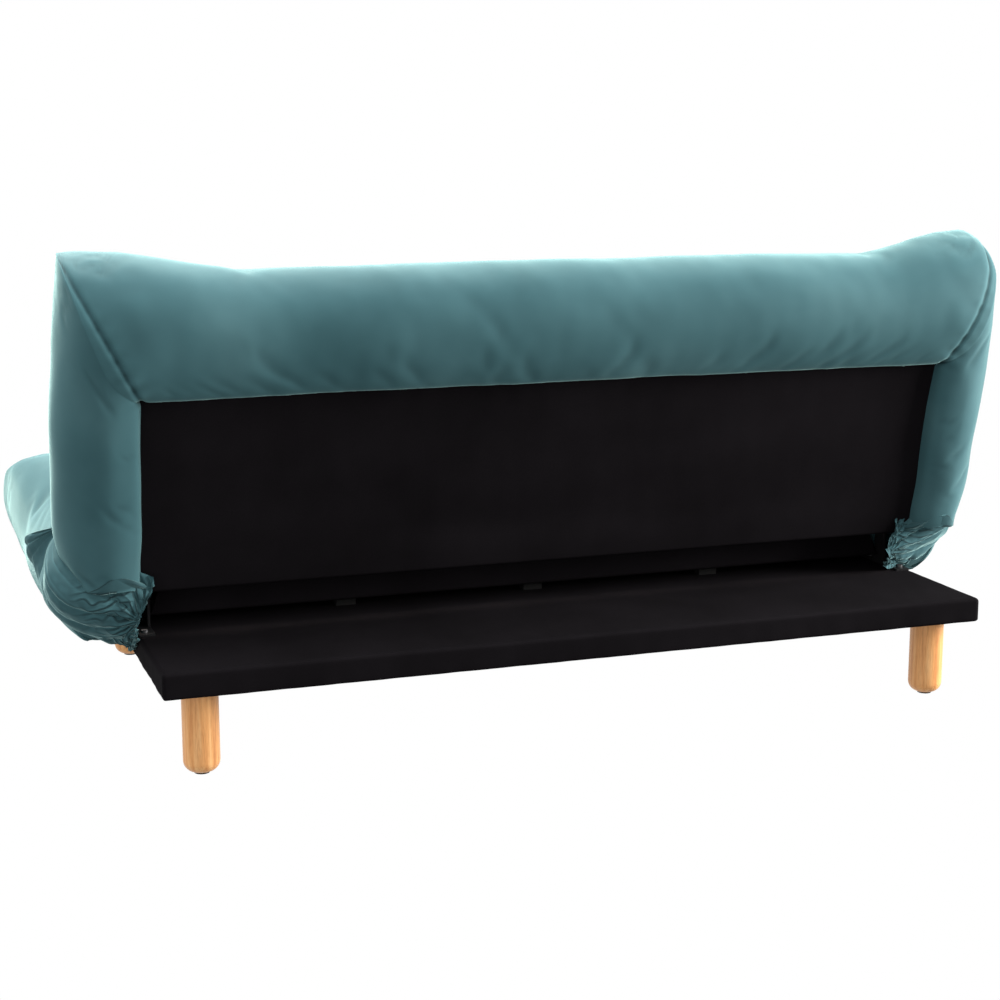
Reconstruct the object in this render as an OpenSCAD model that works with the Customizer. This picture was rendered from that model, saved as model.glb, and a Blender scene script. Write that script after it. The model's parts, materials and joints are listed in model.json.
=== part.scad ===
// Click-clack sofa bed. A low cloth-wrapped base board on four round legs carries a fixed
// seat half. The back half reclines about the hinge line until both halves lie flat.
// Millimetres, +Z up, front towards -Y, X = 0 in the middle of the width.
// Each mattress half is drawn in bed coordinates: x, u away from the hinge line, h up when flat.

/* [Base board] */
// Width of the base board
base_w = 1664; // [1656:2:1672]
// Depth of the base board
base_d = 972; // [960:2:980]
// Thickness of the base board with its cloth
base_t = 48; // [46:1:50]
// Distance of the board's rear edge behind the middle of the object
base_rear = 526; // [520:1:530]

/* [Legs] */
// Diameter of a leg
leg_d = 68; // [56:2:76]
// Height of the board's underside above the floor
leg_h = 160; // [150:1:170]
// Distance from a leg's axis to the end of the board
leg_inset_x = 76; // [60:1:90]
// Distance from a leg's axis to the long edge of the board
leg_inset_y = 66; // [50:1:80]
// Radius of the rounded foot of a leg
foot_round = 22; // [10:1:26]

/* [Hinge] */
// Hinge line, behind the middle of the object
hinge_y = 180; // [176:1:184]
// Hinge line, above the floor
hinge_z = 306; // [304:1:308]
// Lean of the back from vertical in the sofa position
back_lean = 11.7; // [8:0.1:16]
// Distance from the hinge line to the cloth panel of each half
panel_drop = 80; // [78:1:82]

/* [Mattress] */
// Hinge line to the front corner tips of the seat half
seat_len = 706; // [690:1:720]
// Hinge line to the top corner tips of the back half
back_len = 622; // [600:1:640]
// Half width of the mattress over its rounded sides
side_x = 983; // [970:1:986]
// Half width at the front corner tips of the seat half
seat_tip_x = 990; // [984:1:996]
// Half width at the top corner tips of the back half
back_tip_x = 955; // [940:1:970]
// Dip of the long edge between the corner tips
edge_dip = 45; // [20:1:60]
// Height of the crowned face over the hinge line, when flat
crown_h = 128; // [110:1:135]
// Thickness of the velvet cover as modelled
cover_t = 3; // [2:0.5:4]

/* [Frames] */
// Side of the square steel tube
tube = 25; // [20:1:30]
// Wall of the steel tube
tube_wall = 1.5; // [1:0.5:2.5]
// Half width of each steel frame
frame_x = 875; // [870:1:878]
// Hinge line to the far edge of the seat frame
seat_frame_len = 615; // [600:1:618]
// Hinge line to the far edge of the back frame
back_frame_len = 495; // [470:1:498]
// Number of slats in each half
slat_count = 12; // [8:1:13]

/* [Hidden] */
$fn = 48;

cloth_t = 2;
deck_t = 4;
rail_w = 40;
base_top = leg_h + base_t;
rail_h = base_t - 2 * cloth_t - deck_t;
rail_z = leg_h + cloth_t;
deck_z = rail_z + rail_h;
base_front = base_rear - base_d;
leg_x = base_w / 2 - leg_inset_x;
leg_ys = [base_front + leg_inset_y, base_rear - leg_inset_y];
cross_xs = [-400, 0, 400];
glide_h = 3;
glide_r = 14;
bolt_r = 4;
bolt_reach = 50;
block_side = 90;
block_h = rail_h - 4;
wrap_under = 130;

gap = 3;
groove_angle = 45.5;
seat_plane = hinge_z - panel_drop;
tube_low = cloth_t - panel_drop;
tube_top = tube_low + tube;
pocket_top = -18;
near_u = 25;
panel_x = 824;
seat_panel_x = 830;
back_panel_u = 389;
upturn_u = 12;
upturn_x = 780;
seat_panel_u = 636;
back_roll = -125;
seat_roll = -130;
back_tip_h = 64;
seat_tip_h = 78;
notch_x = [786, 848];
notch_u = 112;
notch_h = 48;

slat_w = 50;
slat_t = 8;
slat_pitch = 135;
slat_bow = 12;
cap_size = [58, 40, 16];
cap_wall = 4;

plate_t = 5;
bracket_x = 800;
arm_x = 806;
hub_r = 22;
pin_r = 6;
pin_fit = 0.05;
tooth_root_r = 34;
tooth_tip_r = 38;
tooth_pitch = 12;
pawl_at = [112, 300];
pawl_pin_r = 4;
screw_head_r = 6.5;
screw_head_h = 5;
gather_r = 163;
gather_x = 838;
gather_end = 972;

// Points on a cubic curve from a to d
function curve(a, b, c, d, n) =
    [for (i = [0:n]) let (t = i / n, s = 1 - t) s*s*s*a + 3*s*s*t*b + 3*s*t*t*c + t*t*t*d];

function mirrored(points) =
    concat(points, [for (i = [len(points) - 1:-1:0]) [-points[i][0], points[i][1]]]);

// Places bed coordinates of the seat half, which lies flat in front of the hinge line
module on_seat() {
    translate([0, hinge_y, hinge_z]) mirror([0, 1, 0]) children();
}

// Places bed coordinates of the back half, raised from flat to the sofa position
module on_back() {
    translate([0, hinge_y, hinge_z]) rotate([90 - back_lean, 0, 0]) children();
}

// Draws its children at the right end, or mirrored at the left end
module at_side(side) {
    if (side > 0) children();
    else mirror([1, 0, 0]) children();
}

// Extrudes a (y, z) or (u, h) outline along x from x0 over a width
module along_x(x0, width) {
    translate([x0, 0, 0]) rotate([90, 0, 90]) linear_extrude(width) children();
}

module block(low, high) {
    translate(low) cube(high - low);
}

// ---- base board ----

module base_cover() {
    color("#1b191c") difference() {
        block([-base_w/2, base_front, leg_h], [base_w/2, base_rear, base_top]);
        block([-base_w/2 + cloth_t, base_front + cloth_t, rail_z],
              [base_w/2 - cloth_t, base_rear - cloth_t, base_top - cloth_t]);
        block([-base_w/2 + wrap_under, base_front + wrap_under, leg_h - 1],
              [base_w/2 - wrap_under, base_rear - wrap_under, rail_z + 1]);
        at_legs() cylinder(r = bolt_r + 1, h = rail_z + 1);
        at_bracket_bolts() cylinder(r = bolt_r + 0.5, h = base_t);
        at_seat_bolts() cylinder(r = bolt_r, h = base_t);
    }
}

module base_deck() {
    color("#b08a5c") difference() {
        block([-base_w/2 + cloth_t, base_front + cloth_t, deck_z],
              [base_w/2 - cloth_t, base_rear - cloth_t, deck_z + deck_t]);
        at_bracket_bolts() cylinder(r = bolt_r + 0.5, h = base_t);
        at_seat_bolts() cylinder(r = bolt_r, h = base_t);
    }
}

module long_rail(y0) {
    color("#c9a877") difference() {
        block([-base_w/2 + cloth_t, y0, rail_z], [base_w/2 - cloth_t, y0 + rail_w, deck_z]);
        at_seat_bolts() cylinder(r = bolt_r, h = base_t);
    }
}

module end_rail(side) {
    x0 = base_w/2 - cloth_t - rail_w;
    color("#c9a877") difference() {
        at_side(side) block([x0, base_front + cloth_t + rail_w, rail_z],
                            [x0 + rail_w, base_rear - cloth_t - rail_w, deck_z]);
        at_bracket_bolts() cylinder(r = bolt_r, h = base_t);
    }
}

module cross_rails() {
    color("#c9a877") difference() {
        for (x = cross_xs)
            block([x - rail_w/2, base_front + cloth_t + rail_w, rail_z],
                  [x + rail_w/2, base_rear - cloth_t - rail_w, deck_z]);
        at_seat_bolts() cylinder(r = bolt_r, h = base_t);
    }
}

// ---- legs ----

module at_legs() {
    for (x = [-leg_x, leg_x], y = leg_ys) translate([x, y, 0]) children();
}

module leg_at(side, row) {
    r = leg_d / 2;
    foot = [for (a = [0:10:90])
        [r - foot_round + foot_round * sin(a), glide_h + foot_round * (1 - cos(a))]];
    color("#cd9b64") translate([side * leg_x, leg_ys[row], 0]) difference() {
        rotate_extrude() polygon(concat([[0, glide_h]], foot, [[r, leg_h], [0, leg_h]]));
        translate([0, 0, leg_h - bolt_reach]) cylinder(r = bolt_r, h = bolt_reach + 1);
        translate([0, 0, glide_h - 1]) cylinder(r = 2, h = 16);
    }
}

module leg_glides() {
    color("#2c2724") at_legs() {
        cylinder(r = glide_r, h = glide_h);
        cylinder(r = 2, h = glide_h + 14);
    }
}

// Corner blocks stand inside the rails, so they are trimmed where a rail passes
module leg_blocks() {
    inner_x = base_w/2 - cloth_t - rail_w;
    color("#c9a877") difference() {
        at_legs() block([-block_side/2, -block_side/2, rail_z], [block_side/2, block_side/2, rail_z + block_h]);
        for (side = [-1, 1]) at_side(side)
            block([inner_x, base_front, rail_z - 1], [base_w/2, base_rear, deck_z]);
        block([-base_w/2, base_front, rail_z - 1], [base_w/2, base_front + cloth_t + rail_w, deck_z]);
        block([-base_w/2, base_rear - cloth_t - rail_w, rail_z - 1], [base_w/2, base_rear, deck_z]);
        at_legs() cylinder(r = bolt_r + 1.5, h = deck_z);
    }
}

module leg_bolts() {
    color("#a9abad") at_legs() translate([0, 0, leg_h - bolt_reach + 0.5])
        cylinder(r = bolt_r, h = bolt_reach + cloth_t + block_h - 2);
}

module leg_tee_nuts() {
    top = rail_z + block_h;
    color("#c8c9c4") at_legs() difference() {
        union() {
            translate([0, 0, top]) cylinder(r = 10, h = 2);
            translate([0, 0, top - 10]) cylinder(r = bolt_r + 1.5, h = 11);
        }
        translate([0, 0, top - 11]) cylinder(r = bolt_r, h = 14);
    }
}

// ---- seat supports ----

seat_row_ys = [hinge_y - near_u - tube/2, hinge_y - seat_frame_len + tube/2];

module at_seat_bolts() {
    for (x = cross_xs, y = seat_row_ys) translate([x, y, rail_z]) children();
}

module seat_spacers() {
    color("#3a3a3c") difference() {
        for (x = cross_xs, y = seat_row_ys)
            block([x - 20, y - tube/2, base_top], [x + 20, y + tube/2, seat_plane]);
        at_seat_bolts() cylinder(r = bolt_r, h = 200);
    }
}

module seat_bolts() {
    head_z = seat_plane + cloth_t + tube_wall;
    color("#a9abad") at_seat_bolts() {
        translate([0, 0, 12]) cylinder(r = bolt_r, h = head_z - rail_z - 12);
        translate([0, 0, head_z - rail_z]) cylinder(r = screw_head_r, h = screw_head_h);
    }
}

// ---- steel frames, in bed coordinates ----

module hollow_tube_x(u0) {
    difference() {
        block([-frame_x, u0, tube_low], [frame_x, u0 + tube, tube_top]);
        block([-frame_x - 1, u0 + tube_wall, tube_low + tube_wall],
              [frame_x + 1, u0 + tube - tube_wall, tube_top - tube_wall]);
    }
}

module hollow_tube_u(side, far) {
    at_side(side) difference() {
        block([frame_x - tube, near_u + tube, tube_low], [frame_x, far - tube, tube_top]);
        block([frame_x - tube + tube_wall, near_u, tube_low + tube_wall],
              [frame_x - tube_wall, far, tube_top - tube_wall]);
    }
}

module slat_places() {
    for (i = [0:slat_count - 1]) translate([(i - (slat_count - 1) / 2) * slat_pitch, 0, 0]) children();
}

// A slat bows upwards between its ends, which stay level in the caps
function slat_line(u0, u1, h) =
    [for (i = [0:16]) let (s = i / 16) [u0 + (u1 - u0) * s, h + slat_bow * sin(180 * s) * sin(180 * s)]];

module slats(far) {
    low = tube_top + cap_wall;
    u0 = near_u + cap_wall;
    u1 = far - cap_wall;
    under = slat_line(u0, u1, low);
    over = slat_line(u0, u1, low + slat_t);
    color("#d9bf93") slat_places() along_x(-slat_w/2, slat_w)
        polygon(concat(under, [for (i = [16:-1:0]) over[i]]));
}

// Each cap is a short sleeve over a slat's end, closed at the outer side
module slat_caps(far) {
    slot_h = slat_t + 2.4;
    color("#29292b") slat_places() for (end = [0, 1]) translate([0, end == 0 ? near_u : far, tube_top])
        mirror([0, end, 0]) difference() {
            block([-cap_size[0]/2, 0, 0], [cap_size[0]/2, cap_size[1], cap_size[2]]);
            block([-slat_w/2 - 0.3, cap_wall - 0.3, cap_wall - 0.3],
                  [slat_w/2 + 0.3, cap_size[1] + 1, cap_wall - 0.3 + slot_h]);
        }
}

module seat_tube_front() {
    color("#3b3d40") difference() {
        on_seat() hollow_tube_x(seat_frame_len - tube);
        at_seat_bolts() cylinder(r = bolt_r, h = 80);
    }
}

module seat_tube_rear() {
    color("#3b3d40") difference() {
        on_seat() hollow_tube_x(near_u);
        at_seat_bolts() cylinder(r = bolt_r, h = 80);
    }
}

module seat_tube(side) {
    color("#3b3d40") on_seat() hollow_tube_u(side, seat_frame_len);
}

module back_tube_top() {
    color("#3b3d40") on_back() hollow_tube_x(back_frame_len - tube);
}

module back_tube_bottom() {
    color("#3b3d40") on_back() difference() {
        hollow_tube_x(near_u);
        at_arm_bolts() translate([0, 0, -tube_wall - 1]) cylinder(r = bolt_r, h = tube_wall + 2);
    }
}

module back_tube(side) {
    color("#3b3d40") on_back() hollow_tube_u(side, back_frame_len);
}

module seat_slats() { on_seat() slats(seat_frame_len); }
module seat_slat_caps() { on_seat() slat_caps(seat_frame_len); }
module back_slats() { on_back() slats(back_frame_len); }
module back_slat_caps() { on_back() slat_caps(back_frame_len); }

// ---- mattress halves, in bed coordinates; t is the inset from the outer surface ----

// Outline across the hinge line: slanted fold face, crown, edge and the soft roll below
module side_outline(far, tip_h, roll, band, heel, t) {
    fold_top = crown_h * tan(groove_angle);
    low = roll + t;
    top = crown_h - t;
    tip = [far - t, tip_h];
    start = gap + t;
    polygon(concat(
        curve([start, -heel[1]], [start, -heel[1] - 25], [heel[0] / 2, low + 12], [heel[0], low], 5),
        curve([far - band, low], [far - band * 0.5, low], [far - band * 0.16, tip_h - 90], tip, 8),
        curve([far - t - 2, tip_h + 6], [far - 20, top - 15], [far - 80, top], [far - 170, top], 6),
        curve([fold_top + 70, top], [fold_top + 15 + t, top], [fold_top - 10 + t, top - 16],
              [fold_top - 44 + t, crown_h - 43 - t], 4),
        [[start, 1 + t]]));
}

// Outline along the hinge line, seen from the fold: a round side under the corner tips
module end_outline(tip_x, tip_h, roll, shoulder, t) {
    side = side_x - t;
    low = roll + t;
    polygon(mirrored(concat(
        [[0, low]],
        curve([side - shoulder, low], [side - shoulder * 0.4, low], [side, roll * 0.8], [side, -20], 6),
        curve([side, -10], [side, 20], [max(tip_x, side_x) - t, tip_h - 20], [tip_x - t, tip_h], 3),
        curve([tip_x - t - 3, tip_h + 8], [tip_x - 25, crown_h - t - 10], [tip_x - 80, crown_h - t],
              [tip_x - 200, crown_h - t], 5),
        [[0, crown_h - t]])));
}

// Outline in plan: straight sides that flare out into a pointed tip at each far corner
module plan_outline(far, tip_x, t) {
    side = side_x - t;
    polygon(mirrored(concat(
        [[0, 0]],
        curve([side, 0], [side, far * 0.5], [side, far * 0.75], [tip_x - t, far - t], 8),
        curve([tip_x - t - 20, far - t], [tip_x - 110, far - edge_dip * 0.4], [tip_x - 160, far - edge_dip - t],
              [tip_x - 240, far - edge_dip - t], 6),
        [[0, far - edge_dip - t]])));
}

module half_block(far, tip_x, tip_h, roll, shoulder, band, heel, t) {
    wide = max(tip_x, side_x);
    intersection() {
        along_x(-wide, 2 * wide) side_outline(far, tip_h, roll, band, heel, t);
        translate([0, far + 1, 0]) rotate([90, 0, 0]) linear_extrude(far + 1)
            end_outline(tip_x, tip_h, roll, shoulder, t);
        translate([0, 0, roll - 1]) linear_extrude(crown_h - roll + 2) plan_outline(far, tip_x, t);
    }
}

// The recess behind the cloth panel, with sloping flanks so that it clears the base board
module recess(half_x, far, roll, flare, t) {
    low = roll - 1;
    translate([0, far + t, 0]) rotate([90, 0, 0]) linear_extrude(far + t + 10)
        polygon([[-half_x - t, -panel_drop], [-half_x - flare - t, low],
                 [half_x + flare + t, low], [half_x + t, -panel_drop]]);
}

// Room for the steel frame, the slats and the hinge at each end
module frame_room(far) {
    block([-frame_x - 2, -1, -panel_drop - 0.01], [frame_x + 2, far + 2, pocket_top]);
    for (side = [-1, 1]) at_side(side)
        block([notch_x[0], -1, -panel_drop], [notch_x[1], notch_u, notch_h]);
}

module seat_shape(t) { half_block(seat_len, seat_tip_x, seat_tip_h, seat_roll, 60, 90, [150, 48], t); }
module back_shape(t) { half_block(back_len, back_tip_x, back_tip_h, back_roll, 90, 190, [60, 66], t); }
module seat_recess(t) { recess(seat_panel_x, seat_panel_u, seat_roll, 20, t); }
module back_recess(t) { recess(panel_x, back_panel_u, back_roll, 26, t); }

module seat_foam() {
    color("#e8dfb8") on_seat() difference() {
        seat_shape(cover_t);
        seat_recess(cover_t);
        frame_room(seat_frame_len);
    }
}

module seat_cover() {
    color("#86b0b4") on_seat() difference() {
        seat_shape(0);
        difference() {
            seat_shape(cover_t);
            seat_recess(cover_t);
        }
        seat_recess(0);
        frame_room(seat_frame_len);
    }
}

module back_foam() {
    color("#e8dfb8") on_back() difference() {
        back_shape(cover_t);
        back_recess(cover_t);
        frame_room(back_frame_len);
    }
}

module back_cover() {
    color("#4f8088") on_back() difference() {
        back_shape(0);
        difference() {
            back_shape(cover_t);
            back_recess(cover_t);
        }
        back_recess(0);
        frame_room(back_frame_len);
    }
}

// A cloth panel that turns up over the end of the frame beside the fold, slit at each bracket
module panel(half_x, far) {
    difference() {
        block([-half_x, upturn_u, -panel_drop], [half_x, far, -panel_drop + cloth_t]);
        for (side = [-1, 1]) at_side(side)
            block([bracket_x - gap, 0, -panel_drop - 1],
                  [bracket_x + plate_t + gap, hub_r + gap, -panel_drop + cloth_t + 1]);
    }
    block([-upturn_x, upturn_u, -panel_drop], [upturn_x, upturn_u + cloth_t, pocket_top - 1]);
}

module back_panel() {
    color("#1b191c") on_back() panel(panel_x + 20, back_panel_u + 24);
}

module seat_underside_cloth() {
    color("#1b191c") difference() {
        on_seat() panel(panel_x, seat_frame_len);
        at_seat_bolts() cylinder(r = bolt_r, h = 80);
    }
}

// ---- click-clack hinge ----

module at_bracket_bolts() {
    for (side = [-1, 1], dy = [-60, 60])
        translate([side * (bracket_x + 18), hinge_y + dy, rail_z]) children();
}

// Upright plate with a foot on the board, the hinge hub and an ear for the pawl
module hinge_bracket(side) {
    color("#2b2c2e") difference() {
        union() {
            at_side(side) {
                along_x(bracket_x, plate_t) {
                    translate([hinge_y - hub_r, base_top]) square([2 * hub_r, hinge_z - base_top]);
                    translate([hinge_y, hinge_z]) circle(r = hub_r);
                    translate([pawl_at[0], hinge_z - 20]) square([hinge_y - pawl_at[0], 30]);
                    translate([pawl_at[0], hinge_z - 5]) circle(r = 15);
                }
                block([bracket_x, hinge_y - 80, base_top], [bracket_x + 30, hinge_y + 80, base_top + plate_t]);
            }
        }
        at_side(side) {
            translate([bracket_x - 1, hinge_y, hinge_z]) rotate([0, 90, 0]) cylinder(r = pin_r, h = plate_t + 2);
            translate([bracket_x - 1, pawl_at[0], pawl_at[1]]) rotate([0, 90, 0])
                cylinder(r = pawl_pin_r, h = plate_t + 2);
        }
        at_bracket_bolts() cylinder(r = bolt_r + 0.5, h = base_t + 10);
    }
}

module bracket_bolts() {
    top = base_top + plate_t - rail_z;
    color("#a9abad") at_bracket_bolts() {
        translate([0, 0, 8]) cylinder(r = bolt_r, h = top - 8);
        translate([0, 0, top]) cylinder(r = screw_head_r, h = screw_head_h);
    }
}

module hinge_pin(side) {
    color("#c4c6c8") at_side(side) translate([bracket_x, hinge_y, hinge_z]) rotate([0, 90, 0]) {
        translate([0, 0, -screw_head_h]) cylinder(r = 9, h = screw_head_h);
        cylinder(r = pin_r, h = 16);
    }
}

module hinge_clips() {
    color("#2e2f31") for (side = [-1, 1]) at_side(side)
        translate([arm_x + plate_t + 1, hinge_y, hinge_z]) rotate([0, 90, 0]) difference() {
            cylinder(r = 10, h = 2);
            translate([0, 0, -1]) cylinder(r = pin_r, h = 4);
        }
}

// Teeth of the ratchet face the pawl over the whole travel of the back
function ratchet_points() =
    [for (i = [0:10]) for (k = [0, 1])
        let (a = 80 + i * tooth_pitch + k * tooth_pitch * 0.7, r = k == 0 ? tooth_root_r - 2 : tooth_tip_r)
        [r * cos(a), r * sin(a)]];

module back_arm(side) {
    color("#2b2c2e") on_back() difference() {
        union() {
            at_side(side) {
                along_x(arm_x, plate_t) {
                    circle(r = tooth_root_r);
                    polygon(concat([[0, 0]], ratchet_points()));
                    polygon([[-10, -24], [near_u - 2, tube_top], [near_u + tube, tube_top], [near_u + tube + 12, -20],
                             [20, 24]]);
                }
                block([arm_x, near_u, tube_top], [arm_x + 36, near_u + tube, tube_top + plate_t]);
            }
        }
        at_side(side) translate([arm_x - 1, 0, 0]) rotate([0, 90, 0]) cylinder(r = pin_r + pin_fit, h = plate_t + 2);
        at_arm_bolts() cylinder(r = bolt_r + 0.5, h = plate_t + 1);
    }
}

module at_arm_bolts() {
    for (side = [-1, 1]) translate([side * (arm_x + 22), near_u + tube/2, tube_top]) children();
}

module arm_bolts() {
    color("#a9abad") on_back() at_arm_bolts() {
        translate([0, 0, -8]) cylinder(r = bolt_r, h = 8 + plate_t);
        translate([0, 0, plate_t]) cylinder(r = screw_head_r, h = screw_head_h);
    }
}

module pawl(side) {
    color("#6f7376") at_side(side) translate([0, pawl_at[0], pawl_at[1]]) difference() {
        along_x(arm_x, plate_t) {
            circle(r = 9);
            polygon([[0, -9], [28.4, -5], [28.4, 3], [0, 9]]);
        }
        translate([arm_x - 1, 0, 0]) rotate([0, 90, 0]) cylinder(r = pawl_pin_r + pin_fit, h = plate_t + 2);
    }
}

module pawl_pins() {
    color("#c4c6c8") for (side = [-1, 1]) at_side(side)
        translate([bracket_x, pawl_at[0], pawl_at[1]]) rotate([0, 90, 0]) {
            cylinder(r = pawl_pin_r, h = 12);
            translate([0, 0, 11.5]) cylinder(r = 7, h = 2);
        }
}

// A leaf spring on the bracket's ear presses the pawl up to the ratchet
module pawl_springs() {
    leaf = [[-16, -14], [-14, -15], [6, -11.2], [24, -6.6], [24, -5.8], [6, -10], [-14, -13]];
    color("#b9bcc0") for (side = [-1, 1]) at_side(side) translate([0, pawl_at[0], pawl_at[1]]) {
        along_x(arm_x, plate_t) polygon(leaf);
        along_x(bracket_x + plate_t, 1.5) polygon([[-16, -14], [-14, -15], [-4, -13], [-4, -8], [-12, -8]]);
    }
}

// ---- gathered cover at each end of the fold, as the space that it fills ----

module end_gather(side) {
    color("#5d8f96") at_side(side) difference() {
        translate([0, hinge_y, hinge_z]) intersection() {
            translate([gather_x, 0, 0]) rotate([0, 90, 0])
                cylinder(r = gather_r, h = gather_end - gather_x);
            along_x(gather_x, gather_end - gather_x)
                polygon([[0, -8], [0, -84], [-110, -142], [-110, -170], [170, -170], [170, -44]]);
        }
        on_seat() seat_shape(-1);
    }
}

base_cover();
base_deck();
long_rail(base_front + cloth_t);  // rail_front
long_rail(base_rear - cloth_t - rail_w);  // rail_rear
end_rail(-1);  // rail_left
end_rail(1);  // rail_right
cross_rails();
leg_blocks();
leg_at(-1, 0);  // leg_front_left
leg_at(1, 0);  // leg_front_right
leg_at(-1, 1);  // leg_rear_left
leg_at(1, 1);  // leg_rear_right
leg_glides();
leg_bolts();
leg_tee_nuts();
seat_spacers();
seat_bolts();
seat_tube_front();
seat_tube_rear();
seat_tube(-1);  // seat_tube_left
seat_tube(1);  // seat_tube_right
seat_slats();
seat_slat_caps();
seat_foam();
seat_cover();
seat_underside_cloth();
hinge_bracket(-1);  // hinge_bracket_left
hinge_bracket(1);  // hinge_bracket_right
bracket_bolts();
hinge_pin(-1);  // hinge_pin_left
hinge_pin(1);  // hinge_pin_right
hinge_clips();
pawl_pins();
pawl_springs();
pawl(-1);  // pawl_left
pawl(1);  // pawl_right
back_tube_top();
back_tube_bottom();
back_tube(-1);  // back_tube_left
back_tube(1);  // back_tube_right
back_slats();
back_slat_caps();
back_foam();
back_cover();
back_panel();
back_arm(-1);  // back_arm_left
back_arm(1);  // back_arm_right
arm_bolts();
end_gather(-1);  // end_gather_left
end_gather(1);  // end_gather_right
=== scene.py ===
"""Looks of a click-clack sofa bed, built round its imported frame. Metres, +Z up, front towards -Y.

Each mattress half is shaped in bed coordinates: x, u away from the hinge line, h up when flat.
"""

import json
import math

import bmesh
import bpy
import numpy as np
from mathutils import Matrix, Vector


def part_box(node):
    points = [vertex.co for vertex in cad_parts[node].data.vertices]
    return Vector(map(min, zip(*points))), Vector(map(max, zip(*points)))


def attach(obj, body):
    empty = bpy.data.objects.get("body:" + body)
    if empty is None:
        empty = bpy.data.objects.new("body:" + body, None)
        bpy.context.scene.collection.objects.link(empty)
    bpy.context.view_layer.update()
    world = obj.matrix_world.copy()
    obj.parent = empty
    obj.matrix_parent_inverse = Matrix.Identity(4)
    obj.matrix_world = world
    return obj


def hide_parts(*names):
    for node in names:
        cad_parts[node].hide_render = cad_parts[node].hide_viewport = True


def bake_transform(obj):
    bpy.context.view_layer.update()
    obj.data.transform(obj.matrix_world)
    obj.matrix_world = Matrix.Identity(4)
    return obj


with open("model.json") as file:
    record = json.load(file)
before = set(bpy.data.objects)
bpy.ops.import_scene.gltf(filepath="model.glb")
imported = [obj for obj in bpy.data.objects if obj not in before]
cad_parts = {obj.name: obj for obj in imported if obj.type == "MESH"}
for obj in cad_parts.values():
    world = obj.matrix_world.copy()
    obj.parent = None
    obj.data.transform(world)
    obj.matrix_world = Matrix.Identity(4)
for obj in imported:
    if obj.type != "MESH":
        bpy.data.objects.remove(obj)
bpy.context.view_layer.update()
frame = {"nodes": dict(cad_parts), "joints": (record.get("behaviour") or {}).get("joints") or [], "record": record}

RECLINE = next(j for j in frame["joints"] if j["name"] == "back_recline")
HINGE_Y, HINGE_Z = RECLINE["pos_m"][1:]
RAISED = math.radians(RECLINE["range_deg"][1])


# ---- small helpers ----

def smooth(t):
    t = np.clip(t, 0.0, 1.0)
    return t * t * (3 - 2 * t)


def curve(a, b, c, d, t):
    """Points of a cubic curve; a, b, c and d may be arrays of points."""
    s = 1 - t
    return a * s**3 + 3 * b * s * s * t + 3 * c * s * t * t + d * t**3


def on_seat(p):
    """Points of the seat half from its bed coordinates."""
    return np.stack([p[..., 0], HINGE_Y - p[..., 1], HINGE_Z + p[..., 2]], -1)


def on_back(p):
    """Points of the back half, raised as in the sofa position, from its bed coordinates."""
    c, s = math.cos(RAISED), math.sin(RAISED)
    u, h = p[..., 1], p[..., 2]
    return np.stack([p[..., 0], HINGE_Y + u * c - h * s, HINGE_Z + u * s + h * c], -1)


def seat_bed(p):
    """Bed coordinates of points on the seat half."""
    return np.stack([p[..., 0], HINGE_Y - p[..., 1], p[..., 2] - HINGE_Z], -1)


def back_bed(p):
    """Bed coordinates of points on the back half."""
    c, s = math.cos(RAISED), math.sin(RAISED)
    y, z = p[..., 1] - HINGE_Y, p[..., 2] - HINGE_Z
    return np.stack([p[..., 0], y * c + z * s, z * c - y * s], -1)


def bump_at(d, width):
    """A rounded bump, 1 where d is 0."""
    return np.exp(-(d / width) ** 2)


def waves(p, scale, seed, octaves=3):
    """Soft noise from -1 to 1, the same on every run, made of a few crossing sines."""
    rng = np.random.default_rng(seed)
    total = np.zeros(p.shape[:-1])
    weight = 0.0
    for octave in range(octaves):
        for _ in range(4):
            direction = rng.normal(size=3)
            direction /= np.linalg.norm(direction)
            phase = rng.uniform(0, 2 * math.pi)
            frequency = 2 * math.pi / scale * 1.9**octave * rng.uniform(0.7, 1.3)
            amount = 0.6**octave
            total += amount * np.sin(p @ direction * frequency + phase)
            weight += amount
    return total / weight * 2


def make_mesh(name, points, faces):
    mesh = bpy.data.meshes.new(name)
    mesh.from_pydata(np.asarray(points).reshape(-1, 3).tolist(), [], faces)
    mesh.update()
    piece = bpy.data.objects.new(name, mesh)
    bpy.context.scene.collection.objects.link(piece)
    mesh.polygons.foreach_set("use_smooth", [True] * len(mesh.polygons))
    return piece


def grid_faces(rows, columns, flip=False):
    faces = []
    for r in range(rows - 1):
        for c in range(columns - 1):
            a = r * columns + c
            face = (a, a + 1, a + columns + 1, a + columns)
            faces.append(face[::-1] if flip else face)
    return faces


def rim_of(rows, columns):
    """Places round the edge of a grid: first row, last column, last row, first column."""
    rim = [(0, c) for c in range(columns)] + [(r, columns - 1) for r in range(1, rows)]
    rim += [(rows - 1, c) for c in range(columns - 2, -1, -1)]
    return rim + [(r, 0) for r in range(rows - 2, 0, -1)]


def hang_rings(faces, rim, columns, first, count):
    """Adds the faces of the rings that hang from a grid's rim, and returns the last ring."""
    n = len(rim)
    previous = [r * columns + c for r, c in rim]
    for k in range(count):
        current = list(range(first + k * n, first + (k + 1) * n))
        faces += [(previous[(i + 1) % n], previous[i], current[i], current[(i + 1) % n]) for i in range(n)]
        previous = current
    return previous


def close_normals(piece):
    mesh = bmesh.new()
    mesh.from_mesh(piece.data)
    bmesh.ops.recalc_face_normals(mesh, faces=mesh.faces)
    mesh.to_mesh(piece.data)
    mesh.free()


def apply_modifiers(piece):
    graph = bpy.context.evaluated_depsgraph_get()
    mesh = bpy.data.meshes.new_from_object(piece.evaluated_get(graph))
    old = piece.data
    piece.modifiers.clear()
    piece.data = mesh
    bpy.data.meshes.remove(old)


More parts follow.
